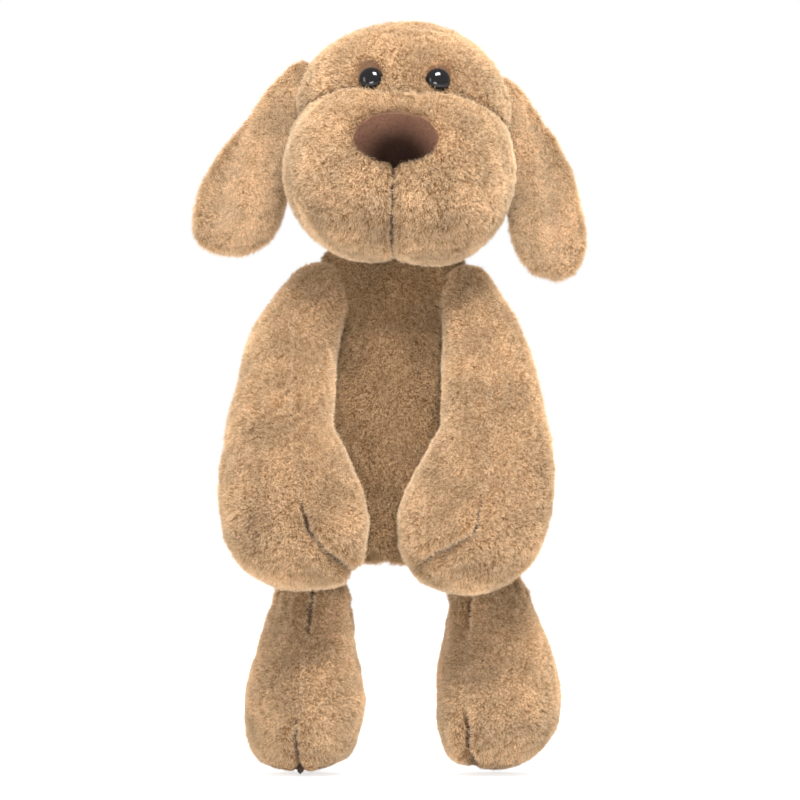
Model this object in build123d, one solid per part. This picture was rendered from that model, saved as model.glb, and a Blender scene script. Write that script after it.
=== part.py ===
"""Floppy plush dog, 45 cm tall, with long hanging limbs, a big soft muzzle and drooping ears.

Millimetres, +Z up, front of the dog faces -Y, the dog's left side is +X.
Every cover is a sewn fur-fabric shell around its own filling.  Head, ears, arms, legs and
tail are separate bodies that swing on their seams, so each keeps a small gap to its neighbour.
"""
from build123d import *
import os
from math import sqrt

os.makedirs("parts", exist_ok=True)

# ---------------------------------------------------------------- driving dimensions
cover = 2.6              # thickness of the fur fabric with its backing
ease = 0.3               # gap between a cover and the filling inside it
sway_arms = -4.8         # the limp arms hang a little to one side
sway_legs = 2.8          # the legs hang a little to the other side

origin_shift_x = 2.6     # moves the whole toy so the origin lies under its middle
origin_shift_y = 5.7

neck_x, neck_y = -4.0, 8.0   # vertical axis on which the head turns
neck_radius = 24.0
neck_top = 316.0
neck_gap = 0.8
neck_turn_height = 314.0

head_tilt = 2.9          # crown leans towards the dog's left
head_turn = -3.0         # nose points a touch towards the dog's right
head_shift_x = 5.5

crown_centre = (0.0, 0.0, 401.0)
crown_radii = (63.0, 54.0, 49.5)
jowl_x = 18.0            # the two muzzle halves are lobes on either side of the centre seam
jowl_centre_y, jowl_centre_z = -22.0, 361.5
jowl_radii = (51.0, 65.0, 54.5)
ear_plane_y = 10.0       # seam between the front and the back of the head

eye_diameter = 14.0
eye_x, eye_z = 20.1, 416.5
nose_width, nose_height, nose_depth = 50.0, 32.0, 10.0
nose_z = 381.0
nose_lean = 20.0         # the nose leans back with the slope of the muzzle

torso_bottom = 125.0
seat_radii = (24.0, 19.0)
torso_x, torso_y = -1.0, 8.0
seat_x = 1.5

shoulder_x, shoulder_y, shoulder_z = 50.0, 0.0, 286.0
hip_x, hip_y, hip_z = 53.0, 0.5, 121.2
ear_root_x, ear_root_y, ear_root_z = 57.5, 4.0, 430.0
ear_spread_left = -2.5   # dog's left ear hangs a little closer to the head
ear_spread_right = 2.5   # dog's right ear hangs a little further out
tail_root_y, tail_root_z = 55.0, 195.5

# rings of the stuffed forms: height, centre x, centre y, half width, half depth;
# a ring of no width marks where a rounded end closes
torso_rings = [
    (125.0, 1.5, 0, 58.0, 24.0),
    (129.0, 1.5, 0, 63.0, 31.0),
    (137.0, 1.3, 0, 66.0, 36.5),
    (153.0, 1.0, 0, 66.0, 40.5),
    (175.0, 0.2, 0, 64.0, 41.5),
    (200.0, -1.0, 0, 57.5, 40.5),
    (225.0, -2.2, 0, 47.0, 38.0),
    (250.0, -2.8, 0, 36.0, 35.0),
    (270.0, -3.0, 0, 29.5, 31.0),
    (288.0, -3.0, 0, 27.0, 28.0),
    (303.0, -3.0, 0, 24.0, 24.0),
]
arm_rings = [
    (306.0, 49.5, 0.0, 0, 0),
    (304.0, 49.5, -0.5, 8.5, 8.5),
    (300.0, 49.5, -1.0, 14.0, 13.0),
    (293.0, 49.8, -2.0, 19.0, 17.5),
    (283.0, 50.8, -4.0, 22.0, 20.0),
    (268.0, 54.0, -11.0, 24.5, 22.0),
    (252.0, 58.0, -21.5, 26.3, 23.5),
    (231.0, 61.3, -34.5, 28.8, 25.0),
    (212.0, 64.2, -42.0, 31.3, 26.0),
    (194.0, 62.4, -48.6, 37.0, 27.0),
    (173.0, 58.6, -53.5, 42.0, 28.5),
    (152.0, 54.0, -55.5, 43.5, 29.0),
    (133.0, 52.8, -54.5, 38.5, 25.5),
    (121.0, 52.0, -52.5, 29.5, 19.5),
    (113.5, 52.0, -52.0, 18.0, 12.0),
    (110.5, 52.0, -52.0, 9.0, 6.0),
    (109.5, 52.0, -52.0, 0, 0),
]
leg_rings = [
    (123.0, 53.0, 0.5, 14.0, 3.0),
    (117.0, 53.2, 0.5, 19.5, 7.5),
    (110.0, 53.6, 0.5, 22.5, 13.0),
    (100.0, 54.2, 0.5, 25.0, 19.0),
    (87.0, 55.3, 0.5, 28.8, 25.0),
    (72.5, 56.4, 0.3, 32.8, 30.5),
    (58.0, 57.2, 0.0, 35.6, 34.0),
    (43.0, 57.5, -0.5, 37.0, 36.5),
    (29.0, 57.6, -0.8, 36.0, 35.5),
    (15.0, 57.3, -1.0, 30.0, 29.5),
    (7.0, 57.0, -1.0, 21.5, 21.0),
    (1.6, 57.0, -1.0, 10.5, 10.0),
    (-0.5, 57.0, -1.0, 0, 0),
]
ear_rings = [
    (428.5, 59.0, 4.0, 0, 0),
    (426.5, 59.5, 4.0, 4.5, 3.0),
    (422.0, 61.5, 4.0, 9.0, 5.0),
    (409.0, 67.5, 4.2, 13.0, 6.5),
    (390.0, 75.5, 4.8, 17.5, 7.5),
    (362.0, 84.5, 5.4, 23.0, 8.5),
    (340.0, 91.0, 5.6, 26.0, 9.0),
    (325.0, 94.0, 5.6, 25.0, 9.0),
    (314.0, 96.0, 5.4, 20.5, 8.0),
    (307.5, 96.5, 5.2, 13.5, 6.0),
    (304.0, 96.5, 5.0, 6.5, 3.0),
    (303.0, 96.5, 5.0, 0, 0),
]
tail_rings = [
    (197.0, 0, 54.4, 0, 0),
    (195.5, 0, 55.0, 5.5, 3.6),
    (191.0, 0, 58.4, 9.0, 6.5),
    (179.0, 0, 63.6, 11.5, 9.5),
    (162.0, 0, 66.0, 13.0, 11.0),
    (148.0, 0, 65.5, 12.5, 10.5),
    (138.0, 0, 65.0, 9.5, 8.0),
    (133.5, 0, 65.0, 5.0, 4.2),
    (132.0, 0, 65.0, 0, 0),
]


# ---------------------------------------------------------------- building blocks
def placed(rings, x=0.0, y=0.0, side=1):
    """Rings moved sideways, mirrored to the dog's right when side is -1."""
    return [(z, side * cx + x, cy + y, rx, ry) for z, cx, cy, rx, ry in rings]


def evenly_spaced(rings, count=15):
    """The same outline drawn with rings at equal steps along it, so the skin stays smooth."""
    travel = [0.0]
    for a, b in zip(rings, rings[1:]):
        step = sqrt((b[0] - a[0]) ** 2 + ((b[3] + b[4] - a[3] - a[4]) / 2) ** 2)
        travel.append(travel[-1] + step)
    columns = list(zip(*rings))
    slopes = []
    for column in columns:
        steps = [(column[i + 1] - column[i]) / (travel[i + 1] - travel[i])
                 for i in range(len(column) - 1)]
        inner = [0.0 if a * b <= 0 else 2 * a * b / (a + b) for a, b in zip(steps, steps[1:])]
        slopes.append([steps[0]] + inner + [steps[-1]])
    result = []
    step = travel[-1] / (count - 1)
    for k in range(count):
        at = step * k
        if k == 0 and rings[0][3] == 0:
            at = 0.3 * step
        if k == count - 1 and rings[-1][3] == 0:
            at = travel[-1] - 0.3 * step
        i = max(j for j in range(len(travel) - 1) if travel[j] <= at + 1e-9)
        width = travel[i + 1] - travel[i]
        t = (at - travel[i]) / width
        ring = []
        for column, slope in zip(columns, slopes):
            value = ((1 + 2 * t) * (1 - t) ** 2 * column[i] + t * (1 - t) ** 2 * width * slope[i]
                     + t * t * (3 - 2 * t) * column[i + 1] + t * t * (t - 1) * width * slope[i + 1])
            ring.append(value)
        result.append(tuple(ring))
    return result


def stuffed_form(rings):
    """Smooth closed solid through a stack of elliptical rings, with a small flat at each end.

    Each ring is two arcs meeting at the front and the back, where the seams of a limb run.
    """
    sections = []
    for z, cx, cy, rx, ry in rings:
        left_arc = EllipticalCenterArc((cx, cy), rx, ry, start_angle=-90, arc_size=180)
        right_arc = EllipticalCenterArc((cx, cy), rx, ry, start_angle=90, arc_size=180)
        sections.append(Pos(0, 0, z) * make_face([left_arc, right_arc]).face())
    return loft(sections)


def inset_rings(rings, wall, thinnest=1.4):
    """The same rings drawn in by a wall thickness measured square to the surface."""
    kept = []
    for i, (z, cx, cy, rx, ry) in enumerate(rings):
        before = rings[max(i - 1, 0)]
        after = rings[min(i + 1, len(rings) - 1)]
        slope = (after[3] + after[4] - before[3] - before[4]) / 2 / (after[0] - before[0])
        across = 1 / sqrt(1 + slope * slope)
        rise = -slope * across
        inner = (z - wall * rise, cx, cy, rx - wall * across, ry - wall * across)
        if min(inner[3], inner[4]) >= thinnest:
            kept.append(inner)
    return kept


def half_shell(outer, hollow, half):
    """One panel of a sewn cover: the part of the shell on one side of the seam."""
    whole = outer & half
    panel = whole - hollow
    expected = whole.volume - (whole & hollow).volume
    if abs(panel.volume - expected) > 0.01 * expected:
        print("panel volume", round(panel.volume), "should be", round(expected))
    return panel


def ellipsoid(centre, radii, grow=0.0):
    """Ellipsoid with its own half axis in each direction, optionally grown or shrunk."""
    unit = Sphere(1.0)
    body = scale(unit, by=(radii[0] + grow, radii[1] + grow, radii[2] + grow))
    return Pos(*centre) * body


def half_space(axis, sign, at, size=700.0):
    """Large block covering everything on one side of a plane."""
    offset = at + sign * size / 2
    place = {"x": (offset, 0, 250), "y": (0, offset, 250), "z": (0, 0, offset)}[axis]
    return Pos(*place) * Box(size, size, size)


def solids_of(shape, name):
    """The one solid of a finished piece; a piece in several lumps is a mistake."""
    lumps = sorted(shape.solids(), key=lambda s: s.volume, reverse=True)
    if len(lumps) > 1 and lumps[1].volume > 1.0:
        print("several lumps in", name, [round(s.volume, 1) for s in lumps])
    return lumps[0]


pieces = {}


def keep(name, shape):
    pieces[name] = solids_of(shape, name)


# ---------------------------------------------------------------- torso
torso_skin = placed(evenly_spaced(torso_rings, 14), torso_x, torso_y)
torso_outer = stuffed_form(torso_skin)
torso_inner_rings = inset_rings(torso_skin, cover)
torso_inner_rings[0] = (torso_bottom + cover,) + torso_inner_rings[0][1:]
torso_inner = stuffed_form(torso_inner_rings)
neck_stub = Pos(neck_x, neck_y, 296) * Cylinder(neck_radius, neck_top - 296, align=(Align.CENTER,
                                                Align.CENTER, Align.MIN))
neck_bore = Pos(neck_x, neck_y, 294) * Cylinder(neck_radius - cover, neck_top - 294 + 1,
                                                align=(Align.CENTER, Align.CENTER, Align.MIN))
seat_panel = Pos(seat_x, torso_y, torso_bottom) * extrude(Ellipse(*seat_radii), cover)
seat_hole = Pos(seat_x, torso_y, torso_bottom - 1) * extrude(
    Ellipse(seat_radii[0] + 0.05, seat_radii[1] + 0.05), cover + 2)

torso_solid = torso_outer + neck_stub
torso_hollow = torso_inner + neck_bore + seat_hole
keep("torso_cover_left", half_shell(torso_solid, torso_hollow, half_space("x", 1, torso_x)))
keep("torso_cover_right", half_shell(torso_solid, torso_hollow, half_space("x", -1, torso_x)))
keep("seat_panel", seat_panel)

torso_fill_rings = inset_rings(torso_skin, cover + ease)
torso_fill_rings[0] = (torso_bottom + cover + ease,) + torso_fill_rings[0][1:]
torso_fill_rings[-1] = torso_fill_rings[-1][:3] + (neck_radius - cover - ease,) * 2
torso_fill = stuffed_form(torso_fill_rings)
neck_fill = Pos(neck_x, neck_y, 296) * Cylinder(neck_radius - cover - ease, neck_top - 0.5 - 296,
                                                align=(Align.CENTER, Align.CENTER, Align.MIN))
seat_bag_centre = (seat_x, torso_y, 150.0)
seat_bag_radii = (46.0, 27.0, 15.0)
keep("seat_pellet_bag", ellipsoid(seat_bag_centre, seat_bag_radii))
keep("torso_stuffing", torso_fill + neck_fill - ellipsoid(seat_bag_centre, seat_bag_radii, ease))
keep("neck_stitching", Pos(neck_x, neck_y, 304.6) * Torus(neck_radius + 1.0, 0.8))

# ---------------------------------------------------------------- head
jowl_left_centre = (jowl_x, jowl_centre_y, jowl_centre_z)
jowl_right_centre = (-jowl_x, jowl_centre_y, jowl_centre_z)
tip_the_head = (
    Pos(neck_x + head_shift_x, neck_y, neck_turn_height)
    * Rot(0, head_tilt, 0) * Rot(0, 0, head_turn)
    * Pos(0, -neck_y, -neck_turn_height)
)
left_half = half_space("x", 1, 0)
right_half = half_space("x", -1, 0)


def muzzle_form(grow=0.0):
    """The two lobes of the muzzle, each trimmed at the centre seam."""
    left = ellipsoid(jowl_left_centre, jowl_radii, grow) & left_half
    right = ellipsoid(jowl_right_centre, jowl_radii, grow) & right_half
    return left, right


def head_form(grow=0.0):
    left, right = muzzle_form(grow)
    return ellipsoid(crown_centre, crown_radii, grow) + left + right


crown_solid = ellipsoid(crown_centre, crown_radii)
crown_hollow = ellipsoid(crown_centre, crown_radii, -cover)
jowl_left, jowl_right = muzzle_form()
head_hollow = head_form(-cover)
front_half = half_space("y", -1, ear_plane_y)
back_half = half_space("y", 1, ear_plane_y)

neck_pocket_height = neck_top + 0.5
neck_pocket = Pos(neck_x, neck_y, 280) * Cylinder(neck_radius + neck_gap, neck_pocket_height - 280,
                                                  align=(Align.CENTER, Align.CENTER, Align.MIN))

# eyes: domed buttons on a shank, held by a washer on the inside of the crown
eye_spots = {}
for side_name, side in (("left", 1), ("right", -1)):
    inside = 1 - (eye_x / crown_radii[0]) ** 2 - ((eye_z - crown_centre[2]) / crown_radii[2]) ** 2
    surface_y = -crown_radii[1] * sqrt(inside)
    outward = Vector(side * eye_x / crown_radii[0] ** 2, surface_y / crown_radii[1] ** 2,
                     (eye_z - crown_centre[2]) / crown_radii[2] ** 2).normalized()
    spot = Plane(origin=(side * eye_x, surface_y, eye_z), x_dir=(0, 0, 1), z_dir=outward)
    dome = scale(Sphere(eye_diameter / 2), by=(1, 1, 0.75)) & (
        Pos(0, 0, 10) * Box(30, 30, 20))
    shank = Pos(0, 0, -9) * Cylinder(2.2, 9.2, align=(Align.CENTER, Align.CENTER, Align.MIN))
    washer = Pos(0, 0, -cover - 2.6) * (Cylinder(7.0, 1.6) - Cylinder(2.3, 3.0))
    button = Pos(0, 0, -1.0) * dome + shank
    socket_dome = scale(Sphere(eye_diameter / 2 + 0.2), by=(1, 1, 0.75)) & (
        Pos(0, 0, 10) * Box(30, 30, 20))
    socket = Pos(0, 0, -1.1) * socket_dome + Pos(0, 0, -12) * Cylinder(
        2.35, 14, align=(Align.CENTER, Align.CENTER, Align.MIN))
    washer_room = Pos(0, 0, -cover - 2.6) * Cylinder(7.3, 2.4)
    eye_spots[side_name] = {
        "eye": spot.location * button,
        "socket": spot.location * socket,
        "washer": spot.location * washer,
        "washer_room": spot.location * washer_room,
    }

# nose: a padded oval of short-pile velvet set on the front of the muzzle
nose_front_y = jowl_centre_y - jowl_radii[1] * sqrt(
    1 - (jowl_x / jowl_radii[0]) ** 2 - ((nose_z - jowl_centre_z) / jowl_radii[2]) ** 2)
nose_centre = (0.0, nose_front_y + 3.0, nose_z)
nose_radii = (nose_width / 2, nose_depth + 4.0, nose_height / 2)


def nose_form(grow=0.0):
    return Pos(*nose_centre) * Rot(-nose_lean, 0, 0) * ellipsoid((0, 0, 0), nose_radii, grow)


nose_solid = nose_form()
nose_hollow = nose_form(-1.6)
nose_fill = nose_form(-1.6 - ease)

sockets = [eye_spots["left"]["socket"], eye_spots["right"]["socket"]]
washer_rooms = [eye_spots["left"]["washer_room"], eye_spots["right"]["washer_room"]]
nose_bed = nose_form(0.05)

crown_cover = (crown_solid - crown_hollow - jowl_left - jowl_right) & front_half
muzzle_left = (jowl_left - head_hollow - crown_hollow) & front_half
muzzle_right = (jowl_right - head_hollow - crown_hollow) & front_half
head_back = (head_form() - head_hollow) & back_half
head_fill = head_form(-cover - ease)
for cutter in sockets:
    crown_cover = crown_cover - cutter
    head_fill = head_fill - cutter
muzzle_left = muzzle_left - eye_spots["left"]["socket"] - nose_bed
muzzle_right = muzzle_right - eye_spots["right"]["socket"] - nose_bed
for cutter in washer_rooms:
    head_fill = head_fill - cutter
head_fill = head_fill - nose_bed

keep("crown_cover", tip_the_head * crown_cover)
keep("head_back_cover", tip_the_head * head_back - neck_pocket)
keep("muzzle_cover_left", tip_the_head * muzzle_left - neck_pocket)
keep("muzzle_cover_right", tip_the_head * muzzle_right - neck_pocket)
keep("head_stuffing", tip_the_head * head_fill - neck_pocket)
keep("nose_cover", tip_the_head * (nose_solid - nose_hollow))
keep("nose_padding", tip_the_head * nose_fill)
for side_name in ("left", "right"):
    keep("eye_" + side_name, tip_the_head * eye_spots[side_name]["eye"])
    keep("eye_washer_" + side_name, tip_the_head * eye_spots[side_name]["washer"])

# ---------------------------------------------------------------- ears
ear_clear_crown = ellipsoid(crown_centre, crown_radii, 0.6)
ear_clear_left, ear_clear_right = muzzle_form(0.6)
for side_name, side, spread in (("left", 1, ear_spread_left), ("right", -1, ear_spread_right)):
    ear_root = Pos(side * ear_root_x, ear_root_y, ear_root_z)
    spread_out = ear_root * Rot(0, -side * spread, 0) * ear_root.inverse()
    ear_clear_jowl = ear_clear_left if side > 0 else ear_clear_right
    ear_skin = placed(evenly_spaced(ear_rings), side=side)
    outer = spread_out * stuffed_form(ear_skin) - ear_clear_crown - ear_clear_jowl
    hollow = spread_out * stuffed_form(inset_rings(ear_skin, 2.2))
    padding = spread_out * stuffed_form(inset_rings(ear_skin, 2.2 + ease))
    padding = padding - ellipsoid(crown_centre, crown_radii, 3.5)
    padding = padding - ellipsoid((side * jowl_x, jowl_centre_y, jowl_centre_z), jowl_radii, 3.5)
    keep("ear_front_cover_" + side_name, tip_the_head * half_shell(outer, hollow, half_space("y", -1, 5.0)))
    keep("ear_back_cover_" + side_name, tip_the_head * half_shell(outer, hollow, half_space("y", 1, 5.0)))
    keep("ear_padding_" + side_name, tip_the_head * padding)

# ---------------------------------------------------------------- arms and legs
paw_bag_radii = (28.0, 16.0, 14.0)
foot_bag_radii = (25.0, 24.0, 14.0)
limbs = (
    ("arm", arm_rings, sway_arms, 57.5, (53.5, -54.0, 146.0), paw_bag_radii, "paw_pellet_bag_"),
    ("leg", leg_rings, sway_legs, 56.8, (57.4, -0.8, 28.0), foot_bag_radii, "foot_pellet_bag_"),
)
for limb, rings, sway, seam_x, bag_centre, bag_radii, bag_name in limbs:
    skin = evenly_spaced(rings, 17)
    outer = stuffed_form(skin)
    hollow = stuffed_form(inset_rings(skin, cover))
    filling = stuffed_form(inset_rings(skin, cover + ease))
    made = {
        limb + "_outer_cover_": half_shell(outer, hollow, half_space("x", 1, seam_x)),
        limb + "_inner_cover_": half_shell(outer, hollow, half_space("x", -1, seam_x)),
        limb + "_stuffing_": filling - ellipsoid(bag_centre, bag_radii, ease),
        bag_name: ellipsoid(bag_centre, bag_radii),
    }
    for name, shape in made.items():
        keep(name + "left", Pos(sway, 0, 0) * shape)
        keep(name + "right", Pos(sway, 0, 0) * mirror(shape, about=Plane.YZ))

# ---------------------------------------------------------------- tail
tail_skin = placed(evenly_spaced(tail_rings, 13), torso_x)
tail_outer = stuffed_form(tail_skin)
tail_hollow = stuffed_form(inset_rings(tail_skin, cover))
keep("tail_cover_left", half_shell(tail_outer, tail_hollow, half_space("x", 1, torso_x)))
keep("tail_cover_right", half_shell(tail_outer, tail_hollow, half_space("x", -1, torso_x)))
keep("tail_stuffing", stuffed_form(inset_rings(tail_skin, cover + ease)))

# ---------------------------------------------------------------- write the pieces
to_origin = Pos(origin_shift_x, origin_shift_y, 0)
for name, piece in pieces.items():
    export_step(to_origin * piece, "parts/" + name + ".step")

whole = Compound([to_origin * piece for piece in pieces.values()]).bounding_box()
print("pieces", len(pieces), "box", whole.min, whole.max)
print("neck_turn", to_origin * Pos(neck_x, neck_y, neck_turn_height))
print("tail_wag", to_origin * Pos(torso_x, tail_root_y, tail_root_z))
for side_name, side in (("left", 1), ("right", -1)):
    root = to_origin * tip_the_head * Pos(side * ear_root_x, ear_root_y, ear_root_z)
    print("ear_lift", side_name, root.position, "axis", Plane(root).y_dir)
    print("shoulder_swing", side_name, to_origin * Pos(side * shoulder_x + sway_arms, shoulder_y, shoulder_z))
    print("hip_swing", side_name, to_origin * Pos(side * hip_x + sway_legs, hip_y, hip_z))
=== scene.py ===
import math
from functools import partial
import bpy
import numpy as np
from mathutils import Matrix, Vector


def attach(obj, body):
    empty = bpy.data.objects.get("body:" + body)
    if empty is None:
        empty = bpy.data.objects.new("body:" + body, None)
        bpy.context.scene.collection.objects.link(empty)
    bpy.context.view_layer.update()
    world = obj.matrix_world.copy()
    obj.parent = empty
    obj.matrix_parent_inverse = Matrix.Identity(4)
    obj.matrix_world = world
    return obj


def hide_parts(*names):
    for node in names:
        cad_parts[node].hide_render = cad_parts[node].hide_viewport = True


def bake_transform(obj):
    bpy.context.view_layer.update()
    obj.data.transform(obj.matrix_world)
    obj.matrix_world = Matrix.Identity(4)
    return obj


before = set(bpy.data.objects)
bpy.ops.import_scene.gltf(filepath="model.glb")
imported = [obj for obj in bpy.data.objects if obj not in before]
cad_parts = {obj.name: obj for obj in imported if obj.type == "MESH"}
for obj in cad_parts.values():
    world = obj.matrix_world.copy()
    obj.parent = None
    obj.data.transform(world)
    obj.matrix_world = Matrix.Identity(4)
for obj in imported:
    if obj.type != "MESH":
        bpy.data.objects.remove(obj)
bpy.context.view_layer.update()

# Shapes are written in millimetres: x to the dog's left, y to its back, z up from the feet.
MM = 0.001
SHIFT = np.array([2.6, 5.7, 0.0])   # from the dog's own middle to the frame's origin

EYE_LEVEL = 223.8        # height of the camera
EYE_SIDE = 3.0           # how far it stands to the side
REACH = 2500.0           # how far in front of the dog it stands
VIEW_WIDTH = 480.0       # width of what it sees at the dog
SENSOR = 36

PILE_ROOM = 3.4          # the skin lies this far under the outline, which the pile fills
FLOOR_FADE = 14.0        # below this height the room for the pile shrinks, so the feet touch the floor
HAIR_GAIN = 4.0          # a strand of particle hair comes out four times as long as its velocity
BACK = np.pi / 2         # the back of a tube, as a turn from the dog's left


def to_frame(p):
    return (np.asarray(p, float) + SHIFT) * MM


def moved(rows, left_edge, right_edge):
    """Rows with their two edges moved sideways; a row without width comes out slightly crossed."""
    return [(z, a + left_edge, b + right_edge, y, d) for z, a, b, y, d in rows]


def face_on(p):
    """Outlines are given as seen from the front; nearer points are drawn in to match."""
    q = np.array(p, float)
    k = 1.0 + q[..., 1] / REACH
    q[..., 0] = EYE_SIDE + (q[..., 0] - EYE_SIDE) * k
    q[..., 2] = EYE_LEVEL + (q[..., 2] - EYE_LEVEL) * k
    return q


# ------------------------------------------------------------------ noise
def lattice(i, j, k, seed):
    """A repeatable random number in -1..1 for each point of a lattice."""
    h = (i * 374761393 + j * 668265263 + k * 2147483647 + seed * 1274126177) & 0xFFFFFFFF
    h = ((h ^ (h >> 13)) * 1274126177) & 0xFFFFFFFF
    h = (h ^ (h >> 16)) & 0xFFFF
    return h / 32767.5 - 1.0


def noise(p, scale, seed):
    """Smooth value noise in -1..1 with features about `scale` millimetres across."""
    q = p / np.asarray(scale, float)
    base = np.floor(q).astype(np.int64)
    f = q - base
    f = f * f * f * (f * (f * 6 - 15) + 10)
    out = 0
    for dx in (0, 1):
        for dy in (0, 1):
            for dz in (0, 1):
                w = ((f[:, 0] if dx else 1 - f[:, 0]) * (f[:, 1] if dy else 1 - f[:, 1])
                     * (f[:, 2] if dz else 1 - f[:, 2]))
                out = out + w * lattice(base[:, 0] + dx, base[:, 1] + dy, base[:, 2] + dz, seed)
    return out


def fur_relief(p, seed):
    """Clumps of pile: long ridges broken into tufts."""
    warp = np.stack([noise(p, 14, seed + 40), noise(p, 14, seed + 41), noise(p, 14, seed + 42)], 1)
    q = p + warp * 3.0
    tufts = noise(q, (4.2, 4.2, 9.0), seed)
    fine = noise(q, (2.3, 2.3, 5.0), seed + 1)
    wide = noise(q, (17, 17, 26), seed + 2)
    return 0.55 * tufts + 0.32 * fine + 0.75 * wide


# ------------------------------------------------------------------ meshes
def pchip(x, y, at):
    """Monotone cubic through the given points."""
    x, y, at = (np.asarray(v, float) for v in (x, y, at))
    h = np.diff(x)
    d = np.diff(y) / h
    m = np.empty_like(y)
    m[0], m[-1] = d[0], d[-1]
    for i in range(1, len(y) - 1):
        m[i] = 0.0 if d[i - 1] * d[i] <= 0 else 2 * d[i - 1] * d[i] / (d[i - 1] + d[i])
    i = np.clip(np.searchsorted(x, at, side="right") - 1, 0, len(x) - 2)
    t = (at - x[i]) / h[i]
    return ((1 + 2 * t) * (1 - t) ** 2 * y[i] + t * (1 - t) ** 2 * h[i] * m[i]
            + t * t * (3 - 2 * t) * y[i + 1] + t * t * (t - 1) * h[i] * m[i + 1])


def tube(rows, along, around, power):
    """Closed skin through rows of (z, left x, right x, centre y, half depth).

    It returns the points, the quads, the two fans at the ends, and each point's turn round the tube.
    """
    rows = np.array(rows, float)
    half_width = (rows[:, 2] - rows[:, 1]) / 2
    step = np.hypot(np.diff(rows[:, 0]), np.diff(half_width + rows[:, 4]) / 2)
    travel = np.concatenate([[0], np.cumsum(step)])
    at = np.linspace(0, travel[-1], along)
    z, left, right, middle_y, half_y = (pchip(travel, rows[:, c], at) for c in range(5))
    turn = np.linspace(0, 2 * np.pi, around, endpoint=False) - np.pi / 2
    across, deep = np.cos(turn), np.sin(turn)
    roundness = 2.0 / power
    middle_x, half_x = (left + right) / 2, (right - left) / 2
    x = middle_x[:, None] + half_x[:, None] * (np.sign(across) * np.abs(across) ** roundness)
    y = middle_y[:, None] + half_y[:, None] * (np.sign(deep) * np.abs(deep) ** roundness)
    grid = np.stack([x, y, np.repeat(z[:, None], around, 1)], 2)[1:-1]
    tips = np.array([[middle_x[k], middle_y[k], z[k]] for k in (0, -1)])
    rings = grid.shape[0]
    verts = np.concatenate([grid.reshape(-1, 3), tips])
    first = np.arange(around)
    a = np.arange(rings - 1)[:, None] * around + first[None, :]
    b = np.arange(rings - 1)[:, None] * around + (first[None, :] + 1) % around
    quads = np.stack([a, b, b + around, a + around], 2).reshape(-1, 4)
    top, bottom = len(verts) - 2, len(verts) - 1
    last = (rings - 1) * around + first
    fans = [(top, int(i), int(j)) for i, j in zip(np.roll(first, -1), first)]
    fans += [(bottom, int(i), int(j)) for i, j in zip(last, np.roll(last, -1))]
    angle = np.concatenate([np.tile(turn, rings), [0, 0]])
    if rows[0, 0] > rows[-1, 0]:
        quads = quads[:, ::-1]
        fans = [(f[0], f[2], f[1]) for f in fans]
    return verts, quads.tolist(), fans, angle


def make_mesh(name, verts, quads, fans=()):
    mesh = bpy.data.meshes.new(name)
    mesh.from_pydata([tuple(v) for v in verts], [], list(quads) + list(fans))
    mesh.polygons.foreach_set("use_smooth", [True] * len(mesh.polygons))
    mesh.update()
    ob = bpy.data.objects.new(name, mesh)
    bpy.context.scene.collection.objects.link(ob)
    return ob


def normals_of(ob):
    n = np.empty(len(ob.data.vertices) * 3)
    ob.data.vertex_normals.foreach_get("vector", n)
    return n.reshape(-1, 3)


def coords_of(ob):
    c = np.empty(len(ob.data.vertices) * 3)
    ob.data.vertices.foreach_get("co", c)
    return c.reshape(-1, 3)


def set_coords(ob, c):
    ob.data.vertices.foreach_set("co", np.ascontiguousarray(c, dtype=float).ravel())
    ob.data.update()


def groove(distance, width, depth):
    """Pinch of a seam: a narrow valley with softly rolled lips."""
    u = distance / width
    return -depth * np.exp(-u * u) + 0.28 * depth * np.exp(-((np.abs(u) - 2.0) ** 2))


def add_float(ob, name, values):
    at = ob.data.attributes.new(name, "FLOAT", "POINT")
    at.data.foreach_set("value", np.asarray(values, np.float32))


def add_group(ob, name, weights):
    """Vertex group with its weights rounded to twentieths, so that it fills in a few calls."""
    g = ob.vertex_groups.new(name=name)
    w = np.clip(np.round(np.asarray(weights) * 20) / 20, 0, 1)
    for level in np.unique(w):
        if level > 0:
            g.add([int(i) for i in np.nonzero(w == level)[0]], float(level), "REPLACE")


def segment_distance(p, a, b):
    a, b = np.asarray(a, float), np.asarray(b, float)
    d = b - a
    t = np.clip(((p - a) @ d) / (d @ d), 0, 1)
    return np.linalg.norm(p - a - t[:, None] * d, axis=1)


def polyline_distance(p, points):
    return np.min([segment_distance(p, a, b) for a, b in zip(points, points[1:])], axis=0)


def flat_distance(p, points):
    """Distance to a line drawn on the front of a piece, measured as seen from the front."""
    flat = p.copy()
    flat[:, 1] = 0
    line = [(x, 0, z) for x, z in points]
    return polyline_distance(flat, line)


def turn_from(angle, middle):
    """Size of the smallest turn from one angle to another."""
    return np.abs(np.angle(np.exp(1j * (angle - middle))))


# ------------------------------------------------------------------ materials
def new_material(name):
    m = bpy.data.materials.new(name)
    m.use_nodes = True
    nodes = m.node_tree.nodes
    nodes.clear()
    out = nodes.new("ShaderNodeOutputMaterial")
    shader = nodes.new("ShaderNodeBsdfPrincipled")
    m.node_tree.links.new(shader.outputs[0], out.inputs[0])
    return m, nodes, m.node_tree.links, shader


def ramp(nodes, stops):
    r = nodes.new("ShaderNodeValToRGB")
    while len(r.color_ramp.elements) < len(stops):
        r.color_ramp.elements.new(0.5)
    for e, (pos, col) in zip(r.color_ramp.elements, stops):
        e.position = pos
        e.color = (*col, 1)
    return r


def scaled_sum(nodes, links, value, scale, other):
    """Node that gives value * scale + other."""
    total = nodes.new("ShaderNodeMath")
    total.operation = "MULTIPLY_ADD"
    total.inputs[1].default_value = scale
    links.new(value, total.inputs[0])
    links.new(other, total.inputs[2])
    return total


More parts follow.
